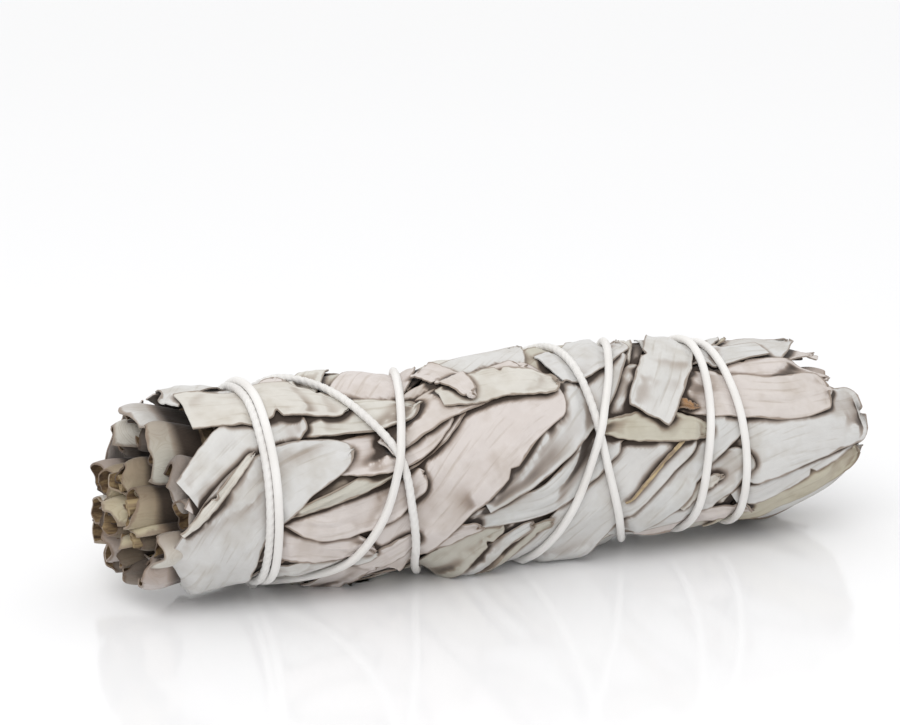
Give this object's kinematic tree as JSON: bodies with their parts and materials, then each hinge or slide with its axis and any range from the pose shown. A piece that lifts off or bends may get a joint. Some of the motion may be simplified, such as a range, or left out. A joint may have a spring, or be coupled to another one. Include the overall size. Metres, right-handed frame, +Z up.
{
  "type": "sage bunch",
  "caption": "Dried white sage bunch: leafy stems laid side by side, outer leaves wrapped slantwise, bound with one cotton string.",
  "frame": {"origin": "middle of the bunch's box, on the surface that it lies on", "axes": "+X along the bunch from the cut ends to the leaf tips, +Z up"},
  "size_m": [0.1532, 0.0442, 0.0409],
  "materials": {
    "leaf": "matte, dried and felted with fine white hairs",
    "stem": "raw, dried",
    "string": "twisted cotton, matte"
  },
  "bodies": {
    "root": {"sprig_1_leaves": "leaf", "sprig_2_leaves": "leaf", "sprig_3_leaves": "leaf", "sprig_4_leaves": "leaf", "sprig_5_leaves": "leaf", "sprig_6_leaves": "leaf", "sprig_7_leaves": "leaf", "sprig_8_leaves": "leaf", "sprig_1_stem": "stem", "sprig_2_stem": "stem", "sprig_3_stem": "stem", "sprig_4_stem": "stem", "sprig_5_stem": "stem", "sprig_6_stem": "stem", "sprig_7_stem": "stem", "sprig_8_stem": "stem", "binding_string": "string"}
  },
  "joints": []
}
